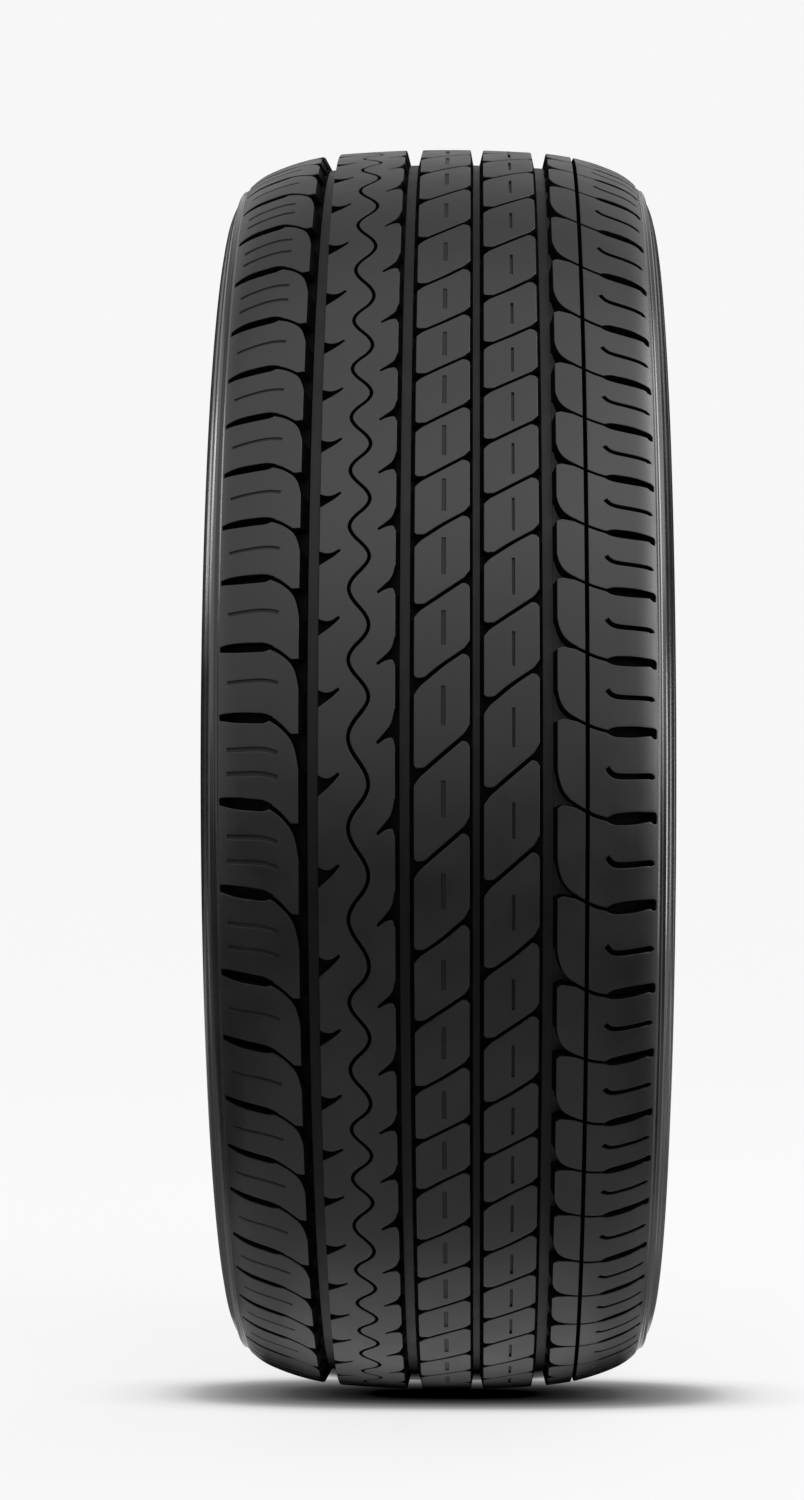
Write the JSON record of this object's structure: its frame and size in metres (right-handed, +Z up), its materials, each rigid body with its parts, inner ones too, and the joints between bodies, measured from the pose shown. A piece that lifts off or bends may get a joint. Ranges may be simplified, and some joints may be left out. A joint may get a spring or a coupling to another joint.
{
  "type": "car tyre",
  "caption": "Tubeless radial car tyre moulded in one piece, with an asymmetric grooved and siped tread, rounded shoulders, plain sidewalls and two beads that seat on a wheel rim.",
  "frame": {"origin": "wheel centre: the middle of the spin axis between the two beads", "axes": "+Y along the spin axis, +Z up with the tyre standing on its tread, +X towards the side of the tread that the picture shows"},
  "size_m": [0.6318, 0.211, 0.6304],
  "materials": {
    "tyre": "matt black moulded rubber with a faint sheen"
  },
  "bodies": {
    "root": {"tyre": "tyre"}
  },
  "joints": []
}
